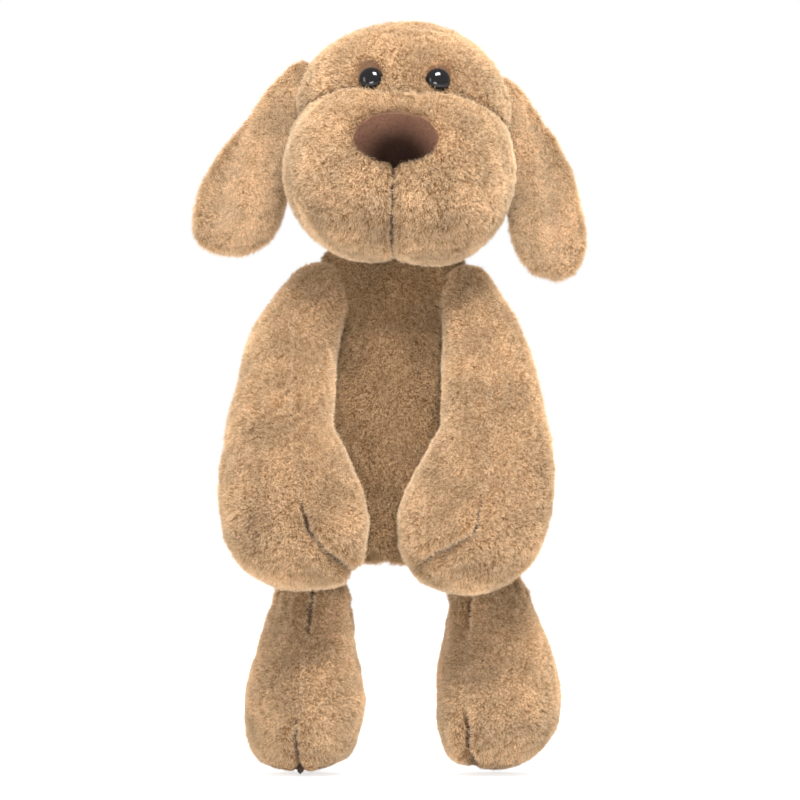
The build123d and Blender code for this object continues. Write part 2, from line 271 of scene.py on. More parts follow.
def product(nodes, links, first, second):
    """Node that multiplies the results of two nodes."""
    result = nodes.new("ShaderNodeMath")
    result.operation = "MULTIPLY"
    links.new(first.outputs[0], result.inputs[0])
    links.new(second.outputs[0], result.inputs[1])
    return result


def fur_surface(name, dark, mid, light):
    """Skin under the pile: tufts and streaks of darker roots and paler tips, plus the painted shade and
    painted light carried by the piece's pile attribute.
    """
    m, nodes, links, shader = new_material(name)
    coord = nodes.new("ShaderNodeTexCoord")
    stretch = nodes.new("ShaderNodeMapping")
    stretch.inputs["Scale"].default_value = (1.0, 1.0, 0.42)
    links.new(coord.outputs["Object"], stretch.inputs["Vector"])
    fine = nodes.new("ShaderNodeTexNoise")
    fine.inputs["Scale"].default_value = 900
    fine.inputs["Detail"].default_value = 4
    links.new(stretch.outputs[0], fine.inputs["Vector"])
    broad = nodes.new("ShaderNodeTexNoise")
    broad.inputs["Scale"].default_value = 120
    broad.inputs["Detail"].default_value = 3
    links.new(stretch.outputs[0], broad.inputs["Vector"])
    pile = nodes.new("ShaderNodeAttribute")
    pile.attribute_name = "pile"
    with_fine = scaled_sum(nodes, links, fine.outputs["Fac"], 0.45, pile.outputs["Fac"])
    with_broad = scaled_sum(nodes, links, broad.outputs["Fac"], 0.35, with_fine.outputs[0])
    colour = ramp(nodes, [(0.30, dark), (0.62, mid), (0.95, light)])
    links.new(with_broad.outputs[0], colour.inputs[0])
    links.new(colour.outputs[0], shader.inputs["Base Color"])
    shader.inputs["Roughness"].default_value = 0.95
    shader.inputs["Sheen Weight"].default_value = 0.25
    shader.inputs["Sheen Roughness"].default_value = 0.6
    shader.inputs["Specular IOR Level"].default_value = 0.12
    bump = nodes.new("ShaderNodeBump")
    bump.inputs["Strength"].default_value = 0.55
    bump.inputs["Distance"].default_value = 0.0012
    links.new(fine.outputs["Fac"], bump.inputs["Height"])
    links.new(bump.outputs[0], shader.inputs["Normal"])
    return m


def pile_material(name, root, middle, tip, patch=0.10):
    """Single hairs, darker at the root, varying hair by hair, tuft by tuft and patch by patch."""
    m, nodes, links, shader = new_material(name)
    info = nodes.new("ShaderNodeHairInfo")
    length = ramp(nodes, [(0.05, root), (0.50, middle), (0.95, tip)])
    links.new(info.outputs["Intercept"], length.inputs[0])
    coord = nodes.new("ShaderNodeTexCoord")
    factors = []
    for scale, low, high in ((330, 1 - patch, 1 + patch), (42, 1 - 1.7 * patch, 1 + 1.2 * patch)):
        blotch = nodes.new("ShaderNodeTexNoise")
        blotch.inputs["Scale"].default_value = scale
        blotch.inputs["Detail"].default_value = 1
        links.new(coord.outputs["Object"], blotch.inputs["Vector"])
        spread = nodes.new("ShaderNodeMapRange")
        spread.inputs["From Min"].default_value = 0.3
        spread.inputs["From Max"].default_value = 0.7
        spread.inputs["To Min"].default_value = low
        spread.inputs["To Max"].default_value = high
        links.new(blotch.outputs["Fac"], spread.inputs["Value"])
        factors.append(spread)
    single = nodes.new("ShaderNodeMapRange")
    single.inputs["To Min"].default_value = 0.72
    single.inputs["To Max"].default_value = 1.26
    links.new(info.outputs["Random"], single.inputs["Value"])
    brightness = product(nodes, links, product(nodes, links, *factors), single)
    vary = nodes.new("ShaderNodeHueSaturation")
    links.new(brightness.outputs[0], vary.inputs["Value"])
    links.new(length.outputs[0], vary.inputs["Color"])
    links.new(vary.outputs[0], shader.inputs["Base Color"])
    shader.inputs["Roughness"].default_value = 0.7
    shader.inputs["Specular IOR Level"].default_value = 0.05
    return m


FUR = fur_surface("golden_fur", (0.12, 0.055, 0.022), (0.44, 0.25, 0.12), (0.84, 0.60, 0.37))
PILE = pile_material("golden_pile", (0.13, 0.050, 0.013), (0.56, 0.318, 0.130), (1.0, 0.795, 0.55))
# Darker copies of the fur and pile for the torso: painted shade for the shadow that the head and arms cast
# on it.
SHADED_TORSO_FUR = fur_surface("torso_fur_painted_shade", (0.10, 0.046, 0.018), (0.34, 0.19, 0.09), (0.62, 0.43, 0.26))
SHADED_TORSO_PILE = pile_material("torso_pile_painted_shade", (0.11, 0.044, 0.013), (0.44, 0.255, 0.11), (0.80, 0.58, 0.36))
NOSE = fur_surface("nose_velvet", (0.012, 0.006, 0.005), (0.03, 0.015, 0.011), (0.20, 0.10, 0.07))
NOSE_PILE = pile_material("nose_pile", (0.02, 0.010, 0.008), (0.21, 0.105, 0.07), (0.54, 0.28, 0.185),
                          patch=0.05)


def paint_velvet_sheen(m, centre, radii, dark):
    """Paints a sheen on the velvet: darker round the centre and lighter towards its edge, as grazing light
    shows it.
    """
    nodes, links = m.node_tree.nodes, m.node_tree.links
    shader = next(n for n in nodes if n.type == "BSDF_PRINCIPLED")
    before = shader.inputs["Base Color"].links[0].from_socket
    coord = nodes.new("ShaderNodeTexCoord")
    place = nodes.new("ShaderNodeMapping")
    place.inputs["Scale"].default_value = [1 / r for r in radii]
    place.inputs["Location"].default_value = [-c / r for c, r in zip(centre, radii)]
    links.new(coord.outputs["Object"], place.inputs["Vector"])
    length = nodes.new("ShaderNodeVectorMath")
    length.operation = "LENGTH"
    links.new(place.outputs[0], length.inputs[0])
    amount = nodes.new("ShaderNodeMapRange")
    amount.interpolation_type = "SMOOTHSTEP"
    amount.inputs["From Min"].default_value = 0.35
    amount.inputs["From Max"].default_value = 1.05
    amount.inputs["To Min"].default_value = dark
    links.new(length.outputs["Value"], amount.inputs["Value"])
    shade = nodes.new("ShaderNodeHueSaturation")
    links.new(amount.outputs[0], shade.inputs["Value"])
    links.new(before, shade.inputs["Color"])
    links.new(shade.outputs[0], shader.inputs["Base Color"])


eye_mat, _, _, eye_shader = new_material("eye_plastic")
eye_shader.inputs["Base Color"].default_value = (0.006, 0.005, 0.005, 1)
eye_shader.inputs["Roughness"].default_value = 0.10
eye_shader.inputs["Specular IOR Level"].default_value = 0.35
eye_shader.inputs["Coat Weight"].default_value = 0.35
eye_shader.inputs["Coat Roughness"].default_value = 0.03


def grow_pile(ob, count, length, down, seed, children=14, thick=0.19, clump=0.86, stray=0.30):
    """Short standing pile in small tufts; it leans downwards and frays a little at the tips."""
    frizz = 0.006
    ob.modifiers.new("pile", "PARTICLE_SYSTEM")
    ps = ob.particle_systems[-1]
    st = ps.settings
    ps.seed = seed
    st.type = "HAIR"
    st.use_advanced_hair = True
    st.count = count
    st.hair_step = 3
    st.emit_from = "FACE"
    st.use_emit_random = True
    st.use_even_distribution = True
    push = length * MM / HAIR_GAIN
    st.normal_factor = push * 0.92
    st.object_align_factor = (0, 0, -down * push)
    st.factor_random = push * stray
    st.child_type = "INTERPOLATED"
    st.rendered_child_count = children
    st.child_length = 1.0
    st.clump_factor = clump
    st.clump_shape = 0.25
    st.roughness_1 = frizz * 0.25
    st.roughness_1_size = 0.6
    st.roughness_2 = frizz * 0.4
    st.roughness_2_size = 0.3
    st.roughness_endpoint = frizz * 0.5
    st.root_radius = thick
    st.tip_radius = thick * 0.35
    st.radius_scale = MM
    st.render_step = 2
    st.display_step = 2
    st.material = 2
    ps.vertex_group_density = "pile_length"
    ps.vertex_group_length = "pile_length"


# ------------------------------------------------------------------ stuffed tubes
def front_crease(p, line, width, depth):
    """A stitched or folded line drawn on the front of a piece."""
    return groove(flat_distance(p, line), width, depth)


def back_seam(angle, radius, width, depth):
    """The seam down the back of a tube that is about `radius` thick."""
    return groove(turn_from(angle, BACK) * radius, width, depth)


def finish_skin(ob, p, extra, seed, relief=0.75, lumps=1.1, lump_scale=34, pile_length=None,
                cloth=(FUR, PILE), bare=0.40):
    """Adds soft lumps, seams and the relief of the pile, then moves the piece into the frame.

    extra gives the seams and folds, pile_length thins the pile, cloth is the skin's and the pile's
    material, and bare says how much shorter the pile is in the creases.
    """
    set_coords(ob, p)
    n = normals_of(ob)
    off_floor = np.clip(p[:, 2] / FLOOR_FADE, 0.12, 1)
    p = p - n * (PILE_ROOM * off_floor)[:, None]
    wide = noise(p, lump_scale, seed + 9)
    narrow = noise(p, lump_scale * 0.45, seed + 8)
    soft = lumps * wide + 0.5 * lumps * narrow
    crease = extra(p, n)
    p = p + n * (soft + crease)[:, None]
    set_coords(ob, p)
    n = normals_of(ob)
    pile = fur_relief(p, seed)
    p = p + n * (relief * pile)[:, None]
    # The skin's tone: paler tips on the tufts and darker roots between them, plus painted shade in the
    # seams, creases and gathers, a little painted light on their raised lips and puffs, and painted shade
    # where the pile is thinned round the eyes and nose.
    thin = 0 if pile_length is None else 1 - pile_length(p)
    add_float(ob, "pile", np.clip(0.18 + 0.22 * pile + 0.10 * crease - 0.32 * thin, -0.4, 0.6))
    weight = np.clip(1.0 + bare * crease, 0.10, 1.0) * (0.93 + 0.07 * noise(p, 12, seed + 5))
    weight = weight * off_floor
    if pile_length is not None:
        weight = weight * pile_length(p)
    set_coords(ob, to_frame(p))
    add_group(ob, "pile_length", weight)
    for m in cloth:
        ob.data.materials.append(m)


def stuffed_tube(name, rows, along, around, seed, power, extra, shape=None, **more):
    """A stuffed piece through rows; shape bends it first and extra adds its seams."""
    verts, quads, fans, angle = tube(rows, along, around, power)
    verts = face_on(verts)
    if shape:
        verts = shape(verts)
    ob = make_mesh(name, verts, quads, fans)
    finish_skin(ob, verts, partial(extra, angle=angle), seed, **more)
    return ob


def front_only(n):
    """1 where the skin faces forward, fading to 0 where it faces sideways or back."""
    return np.clip(-n[:, 1] * 2.0 + 0.2, 0, 1)


arm_rows = {
    "right": [
        (308, -46, -46, 2, 0), (306.3, -54, -38, 1.5, 8), (302, -61, -31, 1, 14),
        (294.5, -67.5, -27.5, 0, 18.5), (285, -74.5, -26.5, -3, 21), (270, -84.5, -31.5, -10, 23),
        (256, -90.5, -35, -19, 24.5), (241, -94.7, -36, -29, 25.5), (227, -98.2, -36.8, -37, 26),
        (212, -102, -37.2, -43, 27), (197, -104.7, -30.5, -48, 28), (182, -106.7, -24, -52, 29),
        (166, -107, -19, -54.5, 30), (150, -105, -16, -56, 30), (137, -100.7, -17.3, -55.5, 28),
        (126, -93.5, -21.5, -54.5, 24), (118, -82, -28, -54, 18), (113, -70, -40, -53.5, 11),
        (111, -56, -56, -53.5, 0)],
    "left": [
        (305.5, 45, 45, 2, 0), (304, 38, 52, 1.5, 8), (300, 31.5, 57, 1, 14),
        (293, 26.5, 61.5, 0, 18.5), (284, 25, 67.5, -3, 21), (270, 27.5, 75.8, -10, 23),
        (256, 28.5, 81.2, -19, 24.5), (241, 28.8, 85.2, -29, 25.5), (227, 29, 88.6, -37, 26),
        (212, 28.2, 91.9, -43, 27), (197, 21, 94.5, -48, 28), (182, 12, 95.4, -52, 29),
        (166, 5, 94.8, -54.5, 30), (152, 1.8, 92.5, -56, 30), (140, 3, 88.6, -55.5, 28),
        (128, 8, 81.5, -54.5, 25), (118, 15, 70, -54, 20), (110.5, 28, 56, -53.5, 11),
        (107.4, 43, 43, -53.5, 0)],
}
arm_creases = {
    "right": [(-60, 262), (-62, 215), (-58, 180), (-49.2, 147), (-38, 135), (-26.5, 126)],
    "left": [(52, 262), (57, 215), (54, 180), (46.8, 147.6), (33, 139), (18.5, 132)],
}
leg_rows = {
    "right": [
        (134, -53, -53, 4, 0), (131, -62, -43, 4, 8), (124, -69, -34, 3.5, 13),
        (116, -72, -29.5, 3, 17.5), (108.6, -73.2, -27, 2.5, 20), (101.4, -75, -26.4, 2, 22.5),
        (94.2, -78, -25.2, 1.5, 25), (87, -79.8, -24, 1, 27), (79.8, -82.8, -22.8, 0.5, 29),
        (72.6, -84.6, -21.6, 0, 31), (65.4, -87.6, -20.4, -0.5, 33), (58.2, -89.4, -19.2, -1, 35),
        (51, -91.2, -18, -1.5, 36.5), (43.8, -91.8, -17.4, -2, 37.5), (36.6, -92.4, -18, -2, 37.5),
        (29.4, -91.8, -19.2, -2, 36.5), (22.2, -90.6, -21.6, -2, 34.5), (15, -87.6, -25.2, -2, 31),
        (7.8, -82.2, -31.8, -2, 24.5), (2.6, -72, -43, -2, 14), (0.4, -57.6, -57.6, -2, 0)],
    "left": [
        (134, 55, 55, 4, 0), (131, 45, 64, 4, 8), (124, 37, 71, 3.5, 13),
        (116, 31, 75.5, 3, 17.5), (108.6, 29.5, 79.5, 2.5, 20), (101.4, 31.2, 82.8, 2, 22.5),
        (94.2, 30, 86.4, 1.5, 25), (87, 28.2, 88.8, 1, 27), (79.8, 27, 91.8, 0.5, 29),
        (72.6, 25.8, 94.2, 0, 31), (65.4, 24.6, 96, -0.5, 33), (58.2, 23.4, 97.2, -1, 35),
        (51, 22.8, 98.4, -1.5, 36.5), (43.8, 22.2, 98.4, -2, 37.5), (36.6, 22.2, 97.8, -2, 37.5),
        (29.4, 23.4, 96.6, -2, 36.5), (22.2, 25.2, 93, -2, 34), (15, 28.2, 87.6, -2, 30),
        (9, 33, 79.5, -2, 24), (4.6, 43, 70, -2, 13), (3, 57, 57, -2, 0)],
}
leg_creases = {
    "right": [(-49.5, 125), (-50.4, 100), (-53, 70), (-57, 40), (-58.8, 27), (-57, 7.8), (-57, 2)],
    "left": [(46, 125), (44.4, 100), (44, 80), (43, 50), (43.2, 37.8), (43.8, 18), (48, 8)],
}
ear_rows = {
    "right": [
        (429, -54, -54, 3, 0), (427, -60, -50, 3, 3.5), (422, -66, -48.5, 3, 5.5),
        (411, -77.4, -49.5, 3.4, 7), (403.8, -82.8, -50.5, 3.8, 7.6), (396.6, -87.6, -51.5, 4, 8),
        (389.4, -93, -53, 4.2, 8.3), (382.2, -99, -55, 4.4, 8.6), (375, -104.4, -57, 4.6, 9),
        (367.8, -108.6, -59, 4.8, 9.4), (360.6, -112.8, -61, 5, 9.6), (353.4, -116.4, -63, 5, 9.8),
        (346.2, -118.8, -64.5, 5, 10), (339, -120.6, -66, 5, 10), (331.8, -121.2, -68, 5, 9.8),
        (324.6, -120.6, -72, 5, 9), (317.4, -116, -79, 5, 7.5), (313, -108, -87, 5, 5),
        (311, -97, -97, 5, 0)],
    "left": [
        (420.5, 62, 62, 3, 0), (418.5, 55, 67, 3, 3.5), (413, 53, 74, 3, 5.5),
        (403.8, 53.5, 82.2, 3.4, 7), (396.6, 54.5, 87.6, 3.8, 7.6), (389.4, 56, 91.8, 4, 8),
        (382.2, 57.5, 96.6, 4.2, 8.3), (375, 59, 100.2, 4.4, 8.6), (367.8, 60.5, 103.2, 4.6, 9),
        (360.6, 62, 106.2, 4.8, 9.4), (353.4, 63.5, 108.6, 5, 9.6), (346.2, 65, 111, 5, 9.8),
        (339, 66.5, 112.8, 5, 10), (331.8, 67.5, 114.6, 5, 10), (324.6, 68.4, 115.8, 5, 10),
        (317.4, 70.2, 115.8, 5, 9.8), (310.2, 74, 114, 5, 9), (303, 79.5, 110.4, 5, 7.2),
        (298.8, 87, 106, 5, 4.6), (296.8, 97, 97, 5, 0)],
}
ear_creases = {
    "right": [(-84, 412), (-87, 404), (-94, 375), (-101, 345), (-103.5, 330)],
    "left": [(80, 400), (86, 380), (92, 355), (94, 330), (94, 312)],
}
torso_rows = [
    (321, -2, -2, 10, 0), (319.5, -24, 20, 10, 13), (315.5, -38, 35, 10, 19), (309, -44, 43, 9, 23),
    (299, -45, 43, 8.5, 26), (284, -41, 37, 8, 29), (268, -39, 33, 8, 32), (250, -42, 35, 8, 35),
    (232, -49, 41, 8, 38), (212, -57, 49, 8, 40.5), (192, -62, 57, 8, 42), (172, -65, 63, 8, 43),
    (153, -67, 66, 8, 42), (140, -67, 67.5, 8, 39), (131, -64, 65, 8, 34), (126, -59, 60, 8, 27),
    (124.6, -45, 46, 8, 18), (124.6, 0, 0, 8, 0)]
tail_rows = [
    (200, -1, -1, 47, 0), (197, -9, 7, 49.5, 6), (190, -12, 10, 57, 8), (179, -14, 12, 63, 10),
    (162, -15.5, 13.5, 66.5, 11.5), (148, -15, 13, 66, 11), (138, -11.5, 9.5, 65.5, 8.5),
    (133.5, -6.5, 4.5, 65, 4.5), (132, -1, -1, 65, 0)]

# How far each limb's two edges are moved, to make room for the pile on the sides.
arm_trim = {"right": (1.4, 0.0), "left": (0.0, 0.0)}
leg_trim = {"right": (2.1, -0.6), "left": (2.3, 0.1)}
pieces = {}


def arm_seam(p, n, angle, side):
    """The crease of the paw, the puff beside it, and the seam down the back."""
    low = np.clip((172 - p[:, 2]) / 22, 0.12, 1)
    front = front_only(n)
    line = front_crease(p, arm_creases[side], 3.2, 6.0) * low * front
    puff = 2.2 * np.exp(-((flat_distance(p, arm_creases[side]) - 11) / 8.0) ** 2) * low * front
    return line + back_seam(angle, 30, 2.2, 1.2) + puff * 0.7


def leg_seam(p, n, angle, side):
    """The line down the front, deep at the thigh and the toes, and the gathers at the top."""
    ends = np.clip((p[:, 2] - 78) / 24, 0, 1) + np.clip((44 - p[:, 2]) / 14, 0, 1) * 0.8
    line = front_crease(p, leg_creases[side], 3.0, 4.8) * np.clip(0.12 + ends, 0, 1) * front_only(n)
    gathers = 0.9 * np.cos(angle * 11 + noise(p, 20, 5) * 1.5) * np.clip((p[:, 2] - 92) / 22, 0, 1)
    return line + gathers + back_seam(angle, 34, 2.2, 1.2)


def ear_shape(v, side, sign):
    """The ear's front curls back along its fold, and its outer edge comes forward."""
    v = v.copy()
    down = np.clip((415 - v[:, 2]) / 110, 0, 1)
    line = flat_distance(v, ear_creases[side])
    v[:, 1] += 3.5 * down * np.exp(-(line / 9.0) ** 2)
    v[:, 1] -= 5.0 * down * np.clip((sign * v[:, 0] - 62) / 55, 0, 1) ** 2
    return v


def ear_seam(p, n, angle, side):
    """The seam round the rim and the fold beside it."""
    rim = np.minimum(turn_from(angle, 0), turn_from(angle, np.pi))
    edge = groove(rim * 9 - 1.0, 1.6, 0.9)
    fold = -3.2 * np.exp(-(flat_distance(p, ear_creases[side]) / 6.0) ** 2) * front_only(n)
    return edge + fold


def torso_seam(p, n, angle):
    """The seam down the front and back, the edge of the base, and a notch between the legs."""
    front = groove(np.abs(p[:, 0] + 3.5), 2.2, 0.5) * (np.abs(n[:, 1]) > 0.3)
    base = groove(p[:, 2] - 127.5, 2.0, 1.6)
    low_front = np.clip((136 - p[:, 2]) / 10, 0, 1) * (n[:, 1] < 0)
    notch = -2.0 * np.exp(-((p[:, 0] + 6) / 3.5) ** 2) * low_front
    return front + base + notch


for side, sign in (("right", -1), ("left", 1)):
    pieces["arm_" + side] = stuffed_tube(
        "arm_" + side, moved(arm_rows[side], *arm_trim[side]), 175, 190, 100 + 10 * sign, 2.25,
        extra=partial(arm_seam, side=side))
    pieces["leg_" + side] = stuffed_tube(
        "leg_" + side, moved(leg_rows[side], *leg_trim[side]), 135, 185, 200 + 10 * sign, 2.15,
        extra=partial(leg_seam, side=side))
    pieces["ear_" + side] = stuffed_tube(
        "ear_" + side, ear_rows[side], 150, 150, 300 + 10 * sign, 2.3,
        shape=partial(ear_shape, side=side, sign=sign), extra=partial(ear_seam, side=side),
        lumps=0.9, lump_scale=26, bare=0.06)
# The torso wears the darker copies of the fur and pile: painted shade.
pieces["torso"] = stuffed_tube("torso", torso_rows, 170, 210, 400, 2.3, extra=torso_seam,
                               cloth=(SHADED_TORSO_FUR, SHADED_TORSO_PILE))
pieces["tail"] = stuffed_tube("tail", tail_rows, 60, 70, 500, 2.1,
                              extra=lambda p, n, angle: back_seam(angle, 12, 1.8, 0.8),
                              lumps=0.6, lump_scale=18)

# ------------------------------------------------------------------ head
NECK_Y, NECK_Z = 8, 314
TIP = np.array(Matrix.Translation((1.5, NECK_Y, NECK_Z))
               @ Matrix.Rotation(math.radians(2.9), 4, "Y")
               @ Matrix.Rotation(math.radians(-3.0), 4, "Z")
               @ Matrix.Translation((0, -NECK_Y, -NECK_Z)))


def tipped(p):
    """The head is modelled upright, then tipped a little sideways and turned on the neck."""
    return np.asarray(p, float) @ TIP[:3, :3].T + TIP[:3, 3]


def cube_sphere(n):
    """Even quads over a sphere of directions."""
    line = np.tan(np.linspace(-1, 1, n + 1) * np.pi / 4)
    keys, verts, quads = {}, [], []
    for axis in range(3):
        for sign in (1, -1):
            ids = np.empty((n + 1, n + 1), int)
            for i, a in enumerate(line):
                for j, b in enumerate(line):
                    v = [0, 0, 0]
                    v[axis], v[(axis + 1) % 3], v[(axis + 2) % 3] = sign, a, b * sign
                    key = (round(v[0], 6), round(v[1], 6), round(v[2], 6))
                    if key not in keys:
                        keys[key] = len(verts)
                        verts.append(v)
                    ids[i, j] = keys[key]
            corners = [ids[:-1, :-1], ids[1:, :-1], ids[1:, 1:], ids[:-1, 1:]]
            quads += np.stack(corners, 2).reshape(-1, 4).tolist()
    d = np.array(verts, float)
    return d / np.linalg.norm(d, axis=1)[:, None], quads


def ray_to(d, origin, centre, radii):
    """How far along each direction the surface of an ellipsoid lies."""
    o = (np.asarray(origin, float) - centre) / radii
    q = d / radii
    a = (q * q).sum(1)
    b = (q * o).sum(1)
    c = (o * o).sum() - 1
    return (-b + np.sqrt(np.maximum(b * b - a * c, 0))) / a


def melted(a, b, width):
    """The larger of two distances, rounded where they cross."""
    top = np.maximum(a, b)
    return top + width * np.log(np.exp((a - top) / width) + np.exp((b - top) / width)) * 0.8


CORE = np.array([0.0, -10.0, 382.0])     # every ray of the head starts here
JOWL_Y, JOWL_Z = -22, 361.5
dirs, head_quads = cube_sphere(106)
crown = ray_to(dirs, CORE, (0, 0, 401.0), (63.5, 54, 50.5))
jowl_left = ray_to(dirs, CORE, (18.5, JOWL_Y, JOWL_Z), (51.5, 65, 54.5))
jowl_right = ray_to(dirs, CORE, (-18.0, JOWL_Y, JOWL_Z), (50.5, 65, 54.5))
bridge = ray_to(dirs, CORE, (0, JOWL_Y, JOWL_Z), (46, 65, 55.5))
jowl = np.where(dirs[:, 0] > 0, jowl_left, jowl_right)
rise = np.clip(((CORE + dirs * jowl[:, None])[:, 2] - 366) / 14, 0, 1)
jowl = jowl + rise * rise * (3 - 2 * rise) * np.maximum(bridge - jowl, 0)
head_v = CORE + dirs * melted(crown, jowl, 4.5)[:, None]
head_p = face_on(tipped(head_v))
head = make_mesh("head", head_p, head_quads)


def head_seam(p, n):
    """The seam between crown and muzzle, the muzzle's centre seam, and the one to the back."""
    from_middle = np.abs(head_v[:, 0])
    front = np.clip(-(head_v[:, 1] - 5) / 20, 0, 1)
    outward = 0.40 + 0.60 * np.clip(from_middle / 42, 0, 1) ** 2
    brow = -1.6 * np.exp(-(np.abs(crown - jowl) / 2.4) ** 2) * (0.35 + 0.65 * front) * outward
    low = np.clip((378 - head_v[:, 2]) / 12, 0, 1)
    muzzle = groove(from_middle, 2.2, 3.0) * low * np.clip(-(head_v[:, 1] + 25) / 20, 0.1, 1)
    middle_back = groove(np.abs(head_v[:, 1] - 10), 2.2, 1.0)
    return brow + muzzle + middle_back


EYES = {"eye_right": (-14.4, 416.4), "eye_left": (25.8, 415.8)}
EYE_RADIUS, EYE_HEIGHT = 7.4, 5.8
NOSE_AT = (0.6, 379.6)
NOSE_WIDE, NOSE_TALL, NOSE_LOW = 23.6, 13.8, 13.4     # half width, and half height up and down
NOSE_MEAN = (NOSE_TALL + NOSE_LOW) / 2


def head_pile(p):
    """The pile is clipped round the eyes and stops at the nose."""
    w = np.ones(len(p))
    for x, z in EYES.values():
        r = np.hypot(p[:, 0] - x, p[:, 2] - z)
        w = np.where(p[:, 1] < -20, w * np.clip(0.15 + (r - 6.8) / 4.5, 0.0, 1), w)
    r = np.hypot((p[:, 0] - NOSE_AT[0]) / NOSE_WIDE, (p[:, 2] - NOSE_AT[1]) / NOSE_MEAN)
    return np.where(p[:, 1] < -50, w * np.clip((r - 0.90) * 5.0, 0, 1), w)


finish_skin(head, head_p, head_seam, 600, lumps=1.0, lump_scale=40, pile_length=head_pile)
pieces["head"] = head


def front_of_head(x, z):
    """Where a line of sight from the front meets the head, in the frame."""
    start = to_frame((x, -300.0, z))
    _, at, normal, _ = head.ray_cast(Vector(start), Vector((0, 1, 0)))
    return np.array(at), normal


def dome(name, outline, height, rings, centre, axes, bulge=2.4, base=3.0):
    """Domed button: outline(turn) gives its half size, the third of its axes points outward."""
    turns = 96
    edge = [outline(turn) for turn in np.linspace(0, 2 * np.pi, turns, endpoint=False)]
    verts, quads = [], []
    for k in range(rings):
        lean = math.pi / 2 * k / rings
        r = math.cos(lean) ** (2 / bulge)
        h = math.sin(lean) ** (2 / bulge) * height
        verts += [(x * r, y * r, h) for x, y in edge]
    verts.append((0, 0, height))
    start = len(verts)
    verts += [(x * 0.97, y * 0.97, -base) for x, y in edge]
    for k in range(rings - 1):
        for j in range(turns):
            a, b = k * turns + j, k * turns + (j + 1) % turns
            quads.append((a, b, b + turns, a + turns))
    apex = rings * turns
    for j in range(turns):
        quads.append(((rings - 1) * turns + j, (rings - 1) * turns + (j + 1) % turns, apex))
        quads.append((start + j, start + (j + 1) % turns, (j + 1) % turns, j))
    quads.append(tuple(start + j for j in reversed(range(turns))))
    return make_mesh(name, centre + np.array(verts) @ np.array(axes) * MM, quads)


def axes_from(normal):
    """Level x axis, y axis and outward z axis of something that faces along the normal."""
    z = normal / np.linalg.norm(normal)
    x = np.cross(np.array([0, 0, 1.0]), z)
    x /= np.linalg.norm(x)
    return x, np.cross(z, x), z


def eye_outline(turn):
    return EYE_RADIUS * math.cos(turn), EYE_RADIUS * math.sin(turn)


for name, (x, z) in EYES.items():
    q = face_on((x, -48.0, z))
    at, normal = front_of_head(q[0], q[2])
    axes = axes_from(np.array([normal[0] * 0.6, -1.0, 0.22]))
    eye = dome(name, eye_outline, EYE_HEIGHT, 20, at - axes[2] * 0.4 * MM, axes)
    eye.data.materials.append(eye_mat)
    pieces[name] = eye


def nose_outline(turn):
    """Oval with a small point at the bottom, where the muzzle's seam meets it."""
    c, s = math.cos(turn), math.sin(turn)
    y = (NOSE_TALL if s > 0 else NOSE_LOW) * math.copysign(abs(s) ** 0.95, s)
    if s < 0:
        y -= 1.3 * math.exp(-(c / 0.12) ** 2)
    return NOSE_WIDE * c, y


q = face_on((NOSE_AT[0], -88.0, NOSE_AT[1]))
nose_middle, _ = front_of_head(q[0], q[2] + 1.0)
# Painted sheen on the nose's velvet and its short pile: darker round the lower middle, lighter towards the
# rim.
for velvet in (NOSE, NOSE_PILE):
    paint_velvet_sheen(velvet, nose_middle + np.array([0.001, 0.0, -0.0105]), (0.027, 0.05, 0.0235), 0.13)
x_axis, y_axis, z_axis = axes_from(np.array([-0.05, -1.0, 0.20]))
roll = math.radians(-1.5)
nose_axes = (x_axis * math.cos(roll) + y_axis * math.sin(roll),
             y_axis * math.cos(roll) - x_axis * math.sin(roll), z_axis)
nose = dome("nose", nose_outline, 9.0, 26, nose_middle + z_axis * 0.3 * MM, nose_axes, bulge=2.1, base=9.0)
nose_p = coords_of(nose)
rib = noise(nose_p / MM, (1.3, 1.3, 3.5), 71) * 0.18 + noise(nose_p / MM, 7, 72) * 0.35
set_coords(nose, nose_p + normals_of(nose) * (rib * MM)[:, None])
# The nose's tone: painted light along its top, where light falls on the velvet, and the ribs of its
# relief.
height = (coords_of(nose) - nose_middle) @ nose_axes[1] / MM
add_float(nose, "pile", np.clip(0.02 + 0.30 * np.clip((height - 6) / 8, 0, 1) + 0.4 * rib, -0.2, 0.7))
nose.data.materials.append(NOSE)
nose.data.materials.append(NOSE_PILE)
add_group(nose, "pile_length", np.ones(len(nose_p)))
pieces["nose"] = nose

# ------------------------------------------------------------------ pile
grow_pile(pieces["head"], 16000, 4.3, down=0.30, seed=1)
grow_pile(pieces["torso"], 12500, 4.1, down=0.40, seed=2)
for k, side in enumerate(("right", "left")):
    grow_pile(pieces["arm_" + side], 11000, 4.3, down=0.38, seed=3 + k)
    grow_pile(pieces["leg_" + side], 8500, 4.3, down=0.32, seed=5 + k)
    grow_pile(pieces["ear_" + side], 7000, 4.1, down=0.42, seed=7 + k)
grow_pile(pieces["tail"], 1700, 4.1, down=0.4, seed=9)
grow_pile(pieces["nose"], 1800, 1.1, down=0.05, seed=10, children=60, thick=0.06, clump=0.0, stray=0.08)

